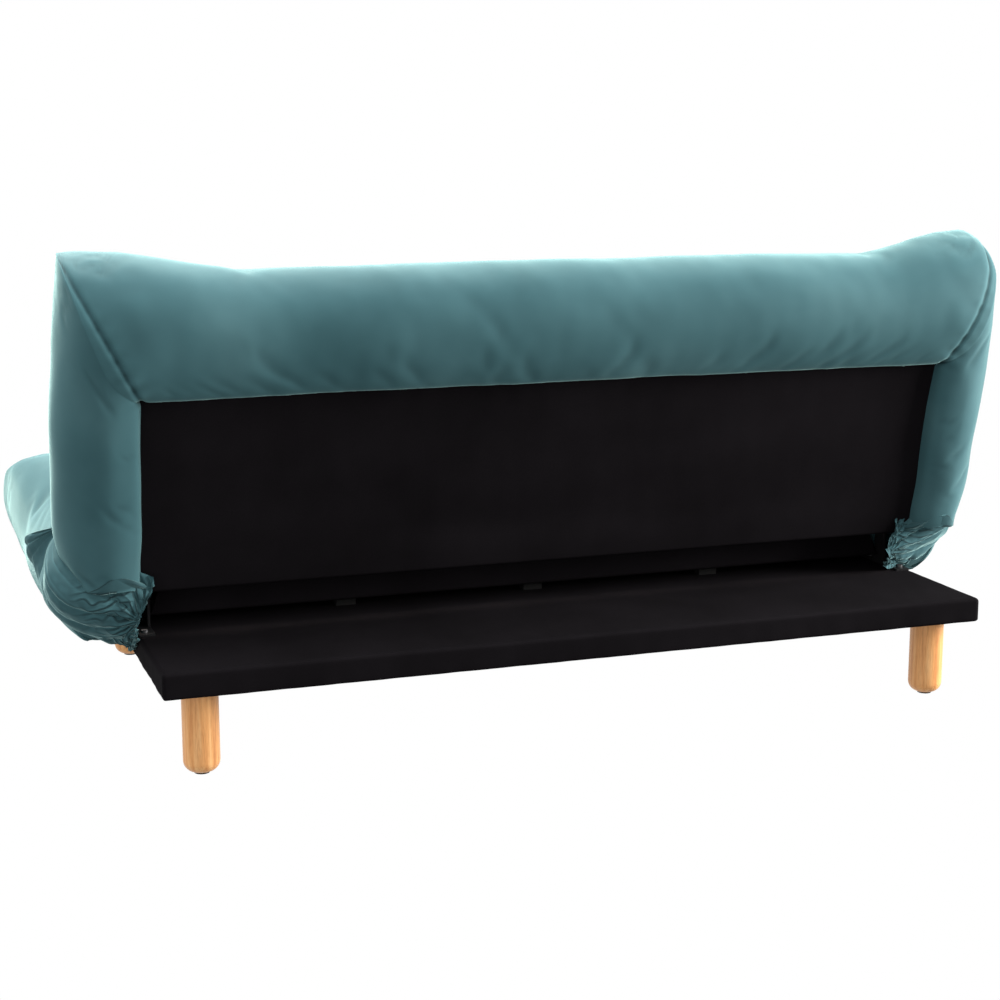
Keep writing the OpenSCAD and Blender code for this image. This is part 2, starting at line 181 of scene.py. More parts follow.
def subdivide(piece):
    modifier = piece.modifiers.new("subdivision", "SUBSURF")
    modifier.levels = modifier.render_levels = 1
    apply_modifiers(piece)


def coordinates(piece):
    co = np.zeros(len(piece.data.vertices) * 3)
    piece.data.vertices.foreach_get("co", co)
    return co.reshape(-1, 3)


def set_coordinates(piece, co):
    piece.data.vertices.foreach_set("co", co.ravel())
    piece.data.update()


def normals(piece):
    n = np.zeros(len(piece.data.vertices) * 3)
    piece.data.vertex_normals.foreach_get("vector", n)
    return n.reshape(-1, 3)


def cloth_on(piece, pinned, bending):
    """A cloth modifier held at the pinned points."""
    group = piece.vertex_groups.new(name="pin")
    for index in np.flatnonzero(pinned > 0.01):
        group.add([int(index)], float(pinned[index]), "REPLACE")
    modifier = piece.modifiers.new("cloth", "CLOTH")
    cloth = modifier.settings
    cloth.vertex_group_mass = "pin"
    cloth.quality = 5
    cloth.mass = 0.3
    cloth.tension_stiffness = cloth.compression_stiffness = 12
    cloth.bending_stiffness = bending
    cloth.effector_weights.gravity = 0
    return modifier, cloth


def run_cloth(piece, modifier, start, frames, cap):
    """Runs the cloth, then limits how far any point has moved."""
    modifier.point_cache.frame_start = 1
    modifier.point_cache.frame_end = frames
    for number in range(1, frames + 1):
        bpy.context.scene.frame_set(number)
    apply_modifiers(piece)
    bpy.context.scene.frame_set(1)
    moved = coordinates(piece) - start
    length = np.linalg.norm(moved, axis=1, keepdims=True)
    set_coordinates(piece, start + moved * cap * np.tanh(length / cap) / np.maximum(length, 1e-9))
    piece.vertex_groups.clear()


def gather_up(piece, pinned, cut, cap, frames, bending):
    """Lets cloth that is cut larger than the room it has buckle into folds."""
    start = coordinates(piece)
    piece.shape_key_add(name="Basis")
    key = piece.shape_key_add(name="cut")
    key.data.foreach_set("co", cut.ravel())
    modifier, cloth = cloth_on(piece, pinned, bending)
    cloth.rest_shape_key = key
    run_cloth(piece, modifier, start, frames, cap)


def puff(piece, pinned, pressure, cap, frames, grow, bending):
    """Inflates a closed form as cloth with a little spare length, held at its pinned points."""
    start = coordinates(piece)
    modifier, cloth = cloth_on(piece, pinned, bending)
    cloth.use_pressure = True
    cloth.uniform_pressure_force = pressure
    cloth.shrink_min = -grow
    run_cloth(piece, modifier, start, frames, cap)


# ---- mattress halves ----

# heights over the hinge line of the cloth panels and of the pockets over the frames
PANEL_H = -0.080
POCKET_H = -0.020
# from the hinge line to the padding of each half
GAP = 0.004
TUFT_PITCH = 0.269
TUFT_COLUMNS = [TUFT_PITCH * (k - 2.5) for k in range(6)]


class Half:
    """Sizes of one mattress half, in bed coordinates."""

    def __init__(self, **sizes):
        self.__dict__.update(sizes)


BACK = Half(far=0.634, tip_x=0.955, side_x=0.976, tip_h=0.060, crown=0.122, dip=0.036,
            roll=-0.124, soft=0.14, panel_x=0.824, panel_u=0.389, crest_in=0.066, crest_far=0.062,
            belly=0.012, ear=(0.62, 0.70), slim=0.016, tuft_rows=(0.20, 0.335, 0.47))
SEAT = Half(far=0.708, tip_x=0.993, side_x=0.978, tip_h=0.084, crown=0.134, dip=0.044,
            roll=-0.128, soft=0.085, panel_x=0.834, panel_u=0.640, crest_in=0.060, crest_far=0.018,
            belly=0.026, ear=(0.72, 0.72), slim=0.0, tuft_rows=(0.20, 0.345, 0.49, 0.625))


def spaced(n, bias):
    """n + 1 steps from -1 to 1, closer together towards the ends."""
    t = np.linspace(-1, 1, n + 1)
    return np.sign(t) * (1 - (1 - np.abs(t)) ** bias)


def half_width(half, a, b):
    """Half width of the edge line at b, from 0 at the hinge to 1 at the far edge."""
    near = 0.026 * smooth((0.20 - b) / 0.20)
    to_tip = np.clip((b - 0.50) / 0.50, 0, 1) ** 1.2
    slim = np.where(a < 0, half.slim, 0) * smooth((0.85 - b) / 0.6)
    return half.side_x * (1 - near) - slim * np.abs(a) + (half.tip_x - half.side_x) * to_tip


def far_edge(half, a):
    """Distance of the far edge at a, from 0 in the middle to 1 at the corner tip."""
    start = np.where(a > 0, *half.ear)
    rise = smooth((np.abs(a) - start) / (0.95 - start))
    blunt = np.where(a > 0, 0.004, 0.022)
    rounding = blunt * np.clip((np.abs(a) - 0.965) / 0.035, 0, 1) ** 2
    return half.far - half.dip * (1 - rise) - rounding


def edge_height(half, b):
    """Height of the edge line, which drops into the fold at the hinge."""
    side = 0.016 + (half.tip_h - 0.016) * smooth((b - 0.40) / 0.6)
    return -0.012 + (side + 0.012) * smooth(b / 0.20)


def quarter(d, r):
    """Rises like a quarter circle of radius r, to 1 at the distance r."""
    return np.sqrt(np.clip(1 - (1 - np.clip(d / r, 0, 1)) ** 2, 0, 1))


def face_height(half, x, u, a, b):
    """Height of the crowned, tufted face, with the slope of the fold at the hinge."""
    edge = edge_height(half, b)
    from_side = quarter((1 - np.abs(a)) * half_width(half, a, b), half.soft)
    rise = from_side * quarter((1 - b) * half.far, half.soft)
    h = edge + (half.crown - edge) * rise
    fold, k = u - 0.008, 0.035
    m = np.clip(0.5 + 0.5 * (fold - h) / k, 0, 1)
    h = fold * (1 - m) + h * m - k * m * (1 - m)
    for cx in TUFT_COLUMNS:
        h -= 0.006 * bump_at(x - cx, 0.030) * rise
        for cu in half.tuft_rows:
            away = np.hypot(x - cx, u - cu)
            h -= 0.024 * bump_at(away, 0.034) * rise
            pull = np.abs(np.sin(3 * np.arctan2(u - cu, x - cx))) * bump_at(away - 0.045, 0.03)
            h -= 0.0025 * pull * rise
    return h


def build_half(name, half, place, nx=150, nu=56, band=22):
    """The closed form of a half and its pin weights."""
    a = spaced(nx, 1.45)
    b = (spaced(nu, 1.35) + 1) / 2
    aa, bb = np.meshgrid(a, b)
    x = aa * half_width(half, aa, bb)
    u = GAP + bb * (far_edge(half, aa) - GAP)
    face = np.stack([x, u, face_height(half, x, u, aa, bb)], -1)
    rows, columns = nu + 1, nx + 1
    faces = grid_faces(rows, columns)

    # the rim runs round the face: hinge edge, right side, far edge, left side
    rim = rim_of(rows, columns)
    ra = np.array([a[c] for r, c in rim])
    rb = np.array([b[r] for r, c in rim])
    edge = np.array([face[r, c] for r, c in rim])

    # the rolled border: from the edge out round its crest and in to the lip at the cloth panel
    near_u = 0.014
    at_hinge = smooth((0.03 - rb) / 0.03)
    end = smooth((np.abs(ra) - 0.925) / 0.06)
    lip_h = PANEL_H + (POCKET_H - PANEL_H) * at_hinge * (1 - end)
    lip = np.stack([ra * half.panel_x, near_u + rb * (half.panel_u - near_u), lip_h], -1)
    crest_u = near_u + rb * (half.panel_u + half.crest_far - near_u) + 0.044 * at_hinge * end
    crest_h = half.roll + (lip_h - 0.002 - half.roll) * at_hinge * (1 - end)
    crest = np.stack([ra * (half.panel_x + half.crest_in), crest_u, crest_h], -1)
    outward = edge - crest
    outward[:, 2] = 0
    length = np.linalg.norm(outward, axis=1, keepdims=True)
    outward = outward / np.maximum(length, 1e-6)
    down = np.array([0, 0, -1.0])
    drop = (edge - crest)[:, 2:]
    belly = half.belly * (1 - at_hinge)[:, None]
    c1 = edge + outward * belly + down * drop * 0.45
    c2 = crest + outward * length * 0.70
    c3 = crest - outward * length * 0.22
    c4 = lip + down * (lip - crest)[:, 2:] * 1.0 + (crest - lip) * np.array([0.04, 0.04, 0])
    outer, inner = int(band * 0.68), band - int(band * 0.68)
    rings = [curve(edge, c1, c2, crest, k / outer) for k in range(1, outer + 1)]
    rings += [curve(crest, c3, c4, lip, k / inner) for k in range(1, inner + 1)]
    rings.append(lip * np.array([0.985, 0.985, 1]) + np.array([0, near_u * 0.015, 0.055]))

    n, first = len(rim), rows * columns
    previous = hang_rings(faces, rim, columns, first, len(rings))

    # the last ring closes over the frame: long strips across, and one face at each end
    far_side = columns + rows - 2
    across = [(previous[c], previous[far_side + columns - 1 - c]) for c in range(columns)]
    faces += [(*across[c], *across[c + 1][::-1]) for c in range(columns - 1)]
    faces.append(tuple(previous[columns - 1:far_side + 1]))
    faces.append(tuple(previous[far_side + columns - 1:] + previous[:1]))

    bed = np.concatenate([face.reshape(-1, 3)] + rings)
    piece = make_mesh(name, place(bed), faces)
    close_normals(piece)
    pinned = smooth((0.05 - bed[:, 1]) / 0.04)
    pinned[first + (band - 3) * n:] = 1.0
    for cx in TUFT_COLUMNS:
        for cu in half.tuft_rows:
            pinned[:first][np.hypot(bed[:first, 0] - cx, bed[:first, 1] - cu) < 0.014] = 1.0
    return piece, pinned


def crumple(piece, half, to_bed, seed):
    """Seams, pinches and small creases of the stuffed cover, after the simulation."""
    co = coordinates(piece)
    bed = to_bed(co)
    x, u, h = np.abs(bed[:, 0]), bed[:, 1], bed[:, 2]
    side = np.sign(bed[:, 0])
    shift = waves(co, 0.30, seed) * 0.0018 + waves(co * [1, 0.4, 0.4], 0.07, seed + 1, 2) * 0.0005

    # the mitre seam runs from each far corner tip to the corner of the cloth panel
    tip = np.array([half.tip_x, half.far])
    corner = np.array([half.panel_x, half.panel_u])
    along = (corner - tip) / np.linalg.norm(corner - tip)
    off = np.stack([x, u], -1) - tip
    s = off @ along
    across = off @ np.array([-along[1], along[0]])
    length = np.linalg.norm(corner - tip)
    on_seam = smooth((0.045 - h) / 0.03) * smooth((s + 0.01) / 0.03) * smooth((length + 0.02 - s) / 0.03)
    shift -= 0.0035 * bump_at(across, 0.0055) * on_seam
    pucker = np.sin(s * 190 + 3 * side) * bump_at(across, 0.022) * smooth(s / length * 1.6)
    shift += 0.0011 * pucker * on_seam

    # folds that fan out from the tip
    r = np.hypot(off[:, 0], off[:, 1])
    turn = np.arctan2(off[:, 1], off[:, 0]) + 0.35 * waves(co, 0.12, seed + 2)
    creases = 1 - np.abs(np.sin(3.1 * turn + seed)) ** 0.6
    shift -= 0.0030 * creases * bump_at(r - 0.07, 0.06) * smooth((h + 0.09) / 0.06)

    # soft lengthwise waves where the border rolls in to the panel
    inner = bump_at(x - (half.panel_x + 0.02), 0.03) * smooth((-0.05 - h) / 0.04)
    shift += 0.0025 * inner * np.sin(u * 34 + side * 1.3 + 2 * np.sin(u * 11))
    set_coordinates(piece, co + normals(piece) * shift[:, None])


# ---- materials ----

def new_material(name):
    material = bpy.data.materials.new(name)
    material.use_nodes = True
    nodes, links = material.node_tree.nodes, material.node_tree.links
    return material, nodes, links, nodes["Principled BSDF"]


def noise_node(nodes, links, scale, detail=3.0, stretch=(1, 1, 1)):
    place = nodes.new("ShaderNodeTexCoord")
    mapping = nodes.new("ShaderNodeMapping")
    mapping.inputs["Scale"].default_value = stretch
    noise = nodes.new("ShaderNodeTexNoise")
    noise.inputs["Scale"].default_value = scale
    noise.inputs["Detail"].default_value = detail
    links.new(place.outputs["Object"], mapping.inputs["Vector"])
    links.new(mapping.outputs["Vector"], noise.inputs["Vector"])
    return noise


def ramp_node(nodes, links, source, stops):
    ramp = nodes.new("ShaderNodeValToRGB")
    elements = ramp.color_ramp.elements
    elements[0].position, elements[0].color = stops[0][0], (*stops[0][1], 1)
    elements[1].position, elements[1].color = stops[-1][0], (*stops[-1][1], 1)
    for position, colour in stops[1:-1]:
        elements.new(position).color = (*colour, 1)
    links.new(source, ramp.inputs["Fac"])
    return ramp


def bump_node(nodes, links, height, strength, distance, onto=None):
    bump = nodes.new("ShaderNodeBump")
    bump.inputs["Strength"].default_value = strength
    bump.inputs["Distance"].default_value = distance
    links.new(height, bump.inputs["Height"])
    if onto is not None:
        links.new(onto.outputs["Normal"], bump.inputs["Normal"])
    return bump


def velvet():
    """Short pile: dark face on, pale at a glance, with brushed patches; painted shade darkens the creases and a
    painted highlight lightens the ridges.
    """
    material, nodes, links, shader = new_material("velvet")
    patches = noise_node(nodes, links, 3.2, 4.0)
    colour = ramp_node(nodes, links, patches.outputs["Fac"],
                       [(0.32, (0.029, 0.080, 0.092)), (0.50, (0.041, 0.104, 0.118)),
                        (0.70, (0.060, 0.136, 0.151))])
    # painted shade and painted highlight: the colour is multiplied darker where the surface is hollow (creases)
    # and lighter where it is pointed (ridges)
    shape = nodes.new("ShaderNodeNewGeometry")
    crease = ramp_node(nodes, links, shape.outputs["Pointiness"],
                       [(0.465, (0.42, 0.42, 0.42)), (0.50, (1, 1, 1)), (0.535, (1.45, 1.42, 1.40))])
    painted_crease_shade = nodes.new("ShaderNodeMix")
    painted_crease_shade.data_type = "RGBA"
    painted_crease_shade.blend_type = "MULTIPLY"
    painted_crease_shade.inputs["Factor"].default_value = 1.0
    links.new(colour.outputs["Color"], painted_crease_shade.inputs["A"])
    links.new(crease.outputs["Color"], painted_crease_shade.inputs["B"])
    links.new(painted_crease_shade.outputs["Result"], shader.inputs["Base Color"])
    pile = noise_node(nodes, links, 900, 2.0)
    brushed = noise_node(nodes, links, 26, 3.0)
    fine = bump_node(nodes, links, pile.outputs["Fac"], 0.25, 0.0006)
    bump = bump_node(nodes, links, brushed.outputs["Fac"], 0.10, 0.002, fine)
    links.new(bump.outputs["Normal"], shader.inputs["Normal"])
    shader.inputs["Roughness"].default_value = 0.80
    shader.inputs["Specular IOR Level"].default_value = 0.12
    shader.inputs["Sheen Weight"].default_value = 0.62
    shader.inputs["Sheen Roughness"].default_value = 0.34
    shader.inputs["Sheen Tint"].default_value = (0.58, 0.92, 0.90, 1)
    return material


def black_cloth():
    """Spun-bonded non-woven cloth with its small pressed dots."""
    material, nodes, links, shader = new_material("black_cloth")
    tone = noise_node(nodes, links, 5, 4.0)
    colour = ramp_node(nodes, links, tone.outputs["Fac"],
                       [(0.3, (0.0053, 0.0046, 0.0054)), (0.75, (0.0084, 0.0073, 0.0086))])
    links.new(colour.outputs["Color"], shader.inputs["Base Color"])
    dots = nodes.new("ShaderNodeTexVoronoi")
    dots.inputs["Scale"].default_value = 420
    place = nodes.new("ShaderNodeTexCoord")
    links.new(place.outputs["Object"], dots.inputs["Vector"])
    fibres = noise_node(nodes, links, 300, 3.0)
    first = bump_node(nodes, links, dots.outputs["Distance"], 0.25, 0.0005)
    bump = bump_node(nodes, links, fibres.outputs["Fac"], 0.2, 0.0005, first)
    links.new(bump.outputs["Normal"], shader.inputs["Normal"])
    shader.inputs["Roughness"].default_value = 0.92
    shader.inputs["Specular IOR Level"].default_value = 0.02
    return material


def wood(name, dark, mid, light, along, gloss, rings=22.0):
    """Straight grain along one axis, with pores and slow tone changes."""
    material, nodes, links, shader = new_material(name)
    stretch = [1.0, 1.0, 1.0]
    stretch["xyz".index(along)] = 0.05
    grain = noise_node(nodes, links, rings * 6, 5.0, stretch)
    pores = noise_node(nodes, links, rings * 40, 2.0, stretch)
    colour = ramp_node(nodes, links, grain.outputs["Fac"], [(0.30, dark), (0.48, mid), (0.68, light)])
    darken = ramp_node(nodes, links, pores.outputs["Fac"], [(0.36, (0.72, 0.66, 0.60)), (0.50, (1, 1, 1))])
    mix = nodes.new("ShaderNodeMix")
    mix.data_type = "RGBA"
    mix.blend_type = "MULTIPLY"
    mix.inputs["Factor"].default_value = 0.55
    links.new(colour.outputs["Color"], mix.inputs["A"])
    links.new(darken.outputs["Color"], mix.inputs["B"])
    links.new(mix.outputs["Result"], shader.inputs["Base Color"])
    bump = bump_node(nodes, links, pores.outputs["Fac"], 0.12, 0.0006)
    links.new(bump.outputs["Normal"], shader.inputs["Normal"])
    shader.inputs["Roughness"].default_value = gloss
    return material


def plain(name, colour, roughness, metallic, scratch):
    """Metal, plastic, rubber or foam: one colour with a fine grain."""
    material, nodes, links, shader = new_material(name)
    grain = noise_node(nodes, links, scratch, 4.0)
    shade = ramp_node(nodes, links, grain.outputs["Fac"],
                      [(0.3, tuple(c * 0.85 for c in colour)), (0.7, colour)])
    links.new(shade.outputs["Color"], shader.inputs["Base Color"])
    bump = bump_node(nodes, links, grain.outputs["Fac"], 0.08, 0.0004)
    links.new(bump.outputs["Normal"], shader.inputs["Normal"])
    shader.inputs["Roughness"].default_value = roughness
    shader.inputs["Metallic"].default_value = metallic
    shader.inputs["Specular IOR Level"].default_value = 0.5 if metallic else 0.12
    return material


MATERIALS = {
    "velvet": velvet(),
    "black_cloth": black_cloth(),
    "oak": wood("oak", (0.64, 0.27, 0.088), (0.82, 0.39, 0.136), (0.93, 0.52, 0.215), "z", 0.42),
    "pine": wood("pine", (0.50, 0.33, 0.16), (0.62, 0.44, 0.24), (0.72, 0.55, 0.34), "x", 0.6),
    "plywood": wood("plywood", (0.40, 0.26, 0.14), (0.52, 0.36, 0.20), (0.60, 0.44, 0.27), "x", 0.65),
    "beech_ply": wood("beech_ply", (0.55, 0.36, 0.20), (0.66, 0.46, 0.27), (0.74, 0.56, 0.36), "y", 0.4),
    "black_plastic": plain("black_plastic", (0.010, 0.010, 0.010), 0.6, 0.0, 700),
    "rubber": plain("rubber", (0.008, 0.008, 0.008), 0.85, 0.0, 500),
    "frame_paint": plain("frame_paint", (0.012, 0.012, 0.013), 0.45, 0.0, 250),
    "foam": plain("foam", (0.72, 0.64, 0.40), 0.95, 0.0, 300),
    "plated_steel": plain("plated_steel", (0.30, 0.31, 0.32), 0.45, 1.0, 160),
    "bright_steel": plain("bright_steel", (0.13, 0.13, 0.135), 0.50, 1.0, 220),
}


def dress(piece, slot):
    """Gives a piece the material of a slot."""
    piece.data.materials.clear()
    piece.data.materials.append(MATERIALS[slot])


for entry in frame["record"]["subparts"]:
    dress(frame["nodes"][entry["node"]], entry["material_slot"])


# ---- velvet mattress halves ----

def finish_half(name, half, place, to_bed, body, replaced, seed):
    piece, pinned = build_half(name, half, place)
    puff(piece, pinned, pressure=3.0, cap=0.014, frames=16, grow=0.005, bending=2.0)
    subdivide(piece)
    crumple(piece, half, to_bed, seed)
    dress(piece, "velvet")
    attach(piece, body)
    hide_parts(*replaced)


finish_half("back_cushion", BACK, on_back, back_bed, "back", ("back_foam", "back_cover"), 3)
finish_half("seat_cushion", SEAT, on_seat, seat_bed, "root", ("seat_foam", "seat_cover"), 4)


# ---- black cloths ----

def panel_cloth(name, half_x, far, turn_x, turn_to, place, seed):
    """Cloth under one half, slightly slack, turned up beside the fold."""
    columns, rows, turned_rows = 180, 48, 18
    bend_share = 0.35
    x = np.linspace(-half_x, half_x, columns)
    near, radius, low = 0.002, 0.008, PANEL_H + 0.0005
    flat = np.linspace(0, 1, rows)
    xx, vv = np.meshgrid(x, flat)
    u = near + radius + vv * (far - near - radius)
    slack = np.sin(math.pi * vv) ** 0.5 * (1 - (xx / half_x) ** 2) ** 0.5 * smooth((u - 0.03) / 0.07)
    ripple = waves(np.stack([xx * 0.5, u * 2.2, 0 * u], -1), 0.32, seed, 2)
    tight = waves(np.stack([xx * 2.0, u * 0.5, 0 * u], -1), 0.10, seed + 1, 2)
    edge_pull = bump_at(vv - 1, 0.08) + bump_at(np.abs(xx) / half_x - 1, 0.02)
    pulled = np.minimum(tight, 0.5) * np.clip(edge_pull + 0.25, 0, 1)
    h = low + slack * (0.006 + 0.0028 * ripple) + 0.0008 * pulled
    flat_part = np.stack([xx, u, h], -1)
    turn = smooth((turn_x + 0.012 - np.abs(x)) / 0.012)
    rise = []
    up = turn_to - low - radius
    for k in range(turned_rows):
        w = k / (turned_rows - 1)
        if w < bend_share:
            angle = (1 - w / bend_share) * math.pi / 2
            pu = near + radius - radius * math.cos(angle)
            ph = low + radius - radius * math.sin(angle)
        else:
            pu = near
            ph = low + radius + up * (w - bend_share) / (1 - bend_share) * turn
        rise.append(np.stack([x, np.full_like(x, pu), np.broadcast_to(ph, x.shape)], -1))
    grid = np.concatenate([np.array(rise[::-1]), flat_part[1:]])
    piece = make_mesh(name, place(grid.reshape(-1, 3)), grid_faces(len(grid), columns))
    dress(piece, "black_cloth")
    return piece


back_cloth = panel_cloth("back_cloth", 0.830, 0.394, 0.778, POCKET_H, on_back, 11)
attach(back_cloth, "back")
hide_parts("back_panel")

seat_cloth = panel_cloth("seat_cloth", 0.820, 0.614, 0.778, POCKET_H, on_seat, 12)
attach(seat_cloth, "root")
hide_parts("seat_underside_cloth")


def base_wrap():
    """Cloth pulled round the board and tucked under it all round."""
    tuck, outset, lift, round_top = 0.13, 0.0015, 0.0016, 0.007
    low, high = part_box("base_cover")
    cx, cy = (low.x + high.x) / 2, (low.y + high.y) / 2
    hx, hy = (high.x - low.x) / 2 + outset, (high.y - low.y) / 2 + outset
    columns, rows = 240, 130
    a, b = spaced(columns - 1, 1.8), spaced(rows - 1, 1.6)
    aa, bb = np.meshgrid(a, b)
    ix, iy = hx - round_top, hy - round_top
    x, y = aa * ix, bb * iy
    p = np.stack([x, y, 0 * x], -1)
    sag = 0.0009 * waves(p, 0.45, 21, 3) + 0.0003 * waves(p, 0.09, 22, 2)
    top = np.stack([x + cx, y + cy, high.z + lift + np.maximum(sag, -0.0014)], -1)
    rim = rim_of(rows, columns)
    edge = np.array([top[r, c] for r, c in rim])
    ra = np.array([a[c] for r, c in rim])
    rb = np.array([b[r] for r, c in rim])
    out = np.stack([np.sign(ra) * (np.abs(ra) > 0.9999), np.sign(rb) * (np.abs(rb) > 0.9999), 0 * ra], -1)
    out *= np.where(np.abs(out).sum(1, keepdims=True) > 1, 0.90, 1.0)
    run = np.cumsum(np.linalg.norm(np.diff(edge, axis=0, prepend=edge[:1]), axis=1))
    thick = high.z - low.z
    profile = [(round_top * math.sin(t), -round_top * (1 - math.cos(t)))
               for t in np.linspace(0.3, math.pi / 2, 5)]
    profile += [(round_top, -round_top - (thick - 2 * round_top) * k / 6) for k in range(1, 7)]
    profile += [(round_top * math.cos(t), -thick + round_top * (1 - math.sin(t)))
                for t in np.linspace(0.3, math.pi / 2, 4)]
    profile += [(-tuck * k / 5, -thick + 0.001) for k in range(1, 6)]
    rings = []
    for offset, fall in profile:
        ring = edge + out * offset
        inside = np.clip(-offset / tuck, 0, 1)
        ring[:, 2] = high.z + fall + (edge[:, 2] - high.z) * (1 - min(1, -fall / 0.02))
        depth = min(1, -fall / thick)
        wobble = np.sin(run * 47 + 2 * np.sin(run * 6.1)) * 0.6 + np.sin(run * 113 + np.sin(run * 13)) * 0.4
        ring += out * (wobble * 0.0009 * depth)[:, None]
        if inside > 0:
            ring[:, 0] = np.clip(ring[:, 0], cx - hx + tuck * inside, cx + hx - tuck * inside)
            ring[:, 1] = np.clip(ring[:, 1], cy - hy + tuck * inside, cy + hy - tuck * inside)
        rings.append(ring)
    faces = grid_faces(rows, columns)
    hang_rings(faces, rim, columns, rows * columns, len(rings))
    piece = make_mesh("base_wrap", np.concatenate([top.reshape(-1, 3)] + rings), faces)
    dress(piece, "black_cloth")
    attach(piece, "root")
    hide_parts("base_cover")


base_wrap()


# ---- gathered cover at the ends of the fold ----

def ridges(t, sharp=0.6):
    """Rounded ridges with sharp valleys between them, from -1 to 0."""
    return -(1 - np.abs(np.sin(t))) ** (1 / sharp)


def along_profile(points, t):
    """A smooth curve through a few (x, radius) points."""
    points = np.array(points, float)
    ends = np.concatenate([2 * points[:1] - points[1:2], points, 2 * points[-1:] - points[-2:-1]])
    place = np.clip(t, 0, 1) * (len(points) - 1)
    i = np.minimum(place.astype(int), len(points) - 2)
    f = (place - i)[..., None]
    p0, p1, p2, p3 = ends[i], ends[i + 1], ends[i + 2], ends[i + 3]
    return 0.5 * (2 * p1 + (p2 - p0) * f + (2 * p0 - 5 * p1 + 4 * p2 - p3) * f**2
                  + (3 * p1 - p0 - 3 * p2 + p3) * f**3)


# where the elastic runs, from 0 at the outer end of the fold to 1 at the frill
HEM = 0.93
# usual distance of the cloth from the hinge line
AROUND = 0.13
# (x, distance from the hinge line) of the cloth from its outer end to its frill: at the seat,
# under the fold, and at the back
SEAT_SIDE = [(0.958, 0.001), (1.002, 0.030), (1.016, 0.060), (1.014, 0.085), (0.998, 0.104), (0.966, 0.114),
             (0.930, 0.116), (0.905, 0.116)]
WRAP = [(0.958, 0.001), (0.988, 0.042), (0.998, 0.084), (0.970, 0.120), (0.912, 0.139), (0.868, 0.142),
        (0.848, 0.134), (0.843, 0.141)]
BACK_SIDE = [(0.958, 0.001), (0.965, 0.032), (0.955, 0.066), (0.924, 0.094), (0.885, 0.109), (0.846, 0.112),
             (0.820, 0.106), (0.805, 0.112)]


def fan(pp, tt, centre, count, reach):
    """Folds that run together at a point of the hem, in metres along the cloth."""
    along, across = (pp - math.radians(centre)) * AROUND, (1 - tt) * 0.24 + 0.004
    distance = np.hypot(along, across)
    turn = np.arctan2(along, across)
    fade = distance / reach * np.exp(1 - distance / reach)
    return turn * count, fade


def fine_folds(co, seed, hem, depth):
    """Small sharp folds that run from the hem outwards, closer together near the hem."""
    phi = np.arctan2(co[:, 2] - HINGE_Z, co[:, 1] - HINGE_Y)
    out = np.maximum(np.abs(co[:, 0]) - hem, 0)
    drift = waves(co, 0.06, seed + 9, 2)
    total = 0 * phi
    for centre, count, reach in ((-26, 13.0, 0.060), (-70, 11.0, 0.070), (-120, 9.0, 0.080)):
        along = (phi - math.radians(centre)) * AROUND
        distance = np.hypot(along, out + 0.004)
        turn = np.arctan2(along, out + 0.004)
        fade = np.minimum(distance / 0.02, 1) * np.exp(-(distance / reach) ** 2)
        total += depth * ridges(turn * count + 1.6 * drift + centre, 0.8) * fade
    strips = bump_at((np.degrees(phi) + 8) / 20, 1) * smooth(out / 0.02) * smooth((0.13 - out) / 0.05)
    return total + 0.85 * depth * ridges(24 * phi + 26 * out + 1.4 * drift, 0.8) * strips


def gather_folds(x, r, degrees, t, start, stop, seed):
    """How far each point of the cloth stands out in its large folds, before the simulation."""
    phi = np.radians(degrees)
    flow = np.stack([np.cos(phi) * r, np.sin(phi) * r, x], -1)
    drift = waves(flow, 0.20, seed, 2)
    turn, fade = fan(phi, t, -26, 9.0, 0.075)
    shift = 0.009 * ridges(turn + 0.7 * drift + seed) * fade
    turn, fade = fan(phi, t, -75, 7.0, 0.060)
    shift += 0.006 * ridges(turn + 0.8 * drift) * fade * smooth((-35 - degrees) / 30)
    strips = bump_at((degrees + 10) / 17, 1) * smooth((t - 0.08) / 0.15) * smooth((0.80 - t) / 0.2)
    shift += 0.004 * ridges(17 * phi + 4.2 * t + 0.8 * drift) * strips
    on_seat_side = smooth((-135 - degrees) / 30)
    shift += 0.004 * ridges(8 * phi + 9.0 * t + drift) * on_seat_side * smooth(t / 0.08)
    shift += 0.003 * waves(flow, 0.10, seed + 5, 2) + 0.0006 * waves(flow, 0.022, seed + 6, 2)
    shift += 0.0035 * ridges(15 * phi + 0.9 * drift) * smooth((t - 0.72) / 0.2)
    frill = 0.0030 * smooth((t - 0.95) / 0.05) * np.sin(33 * phi + 2 * drift)
    shift += frill - 0.003 * bump_at(t - HEM, 0.02)
    return shift * (smooth((degrees - start) / 20) * (0.35 + 0.65 * smooth((stop - degrees) / 10)))


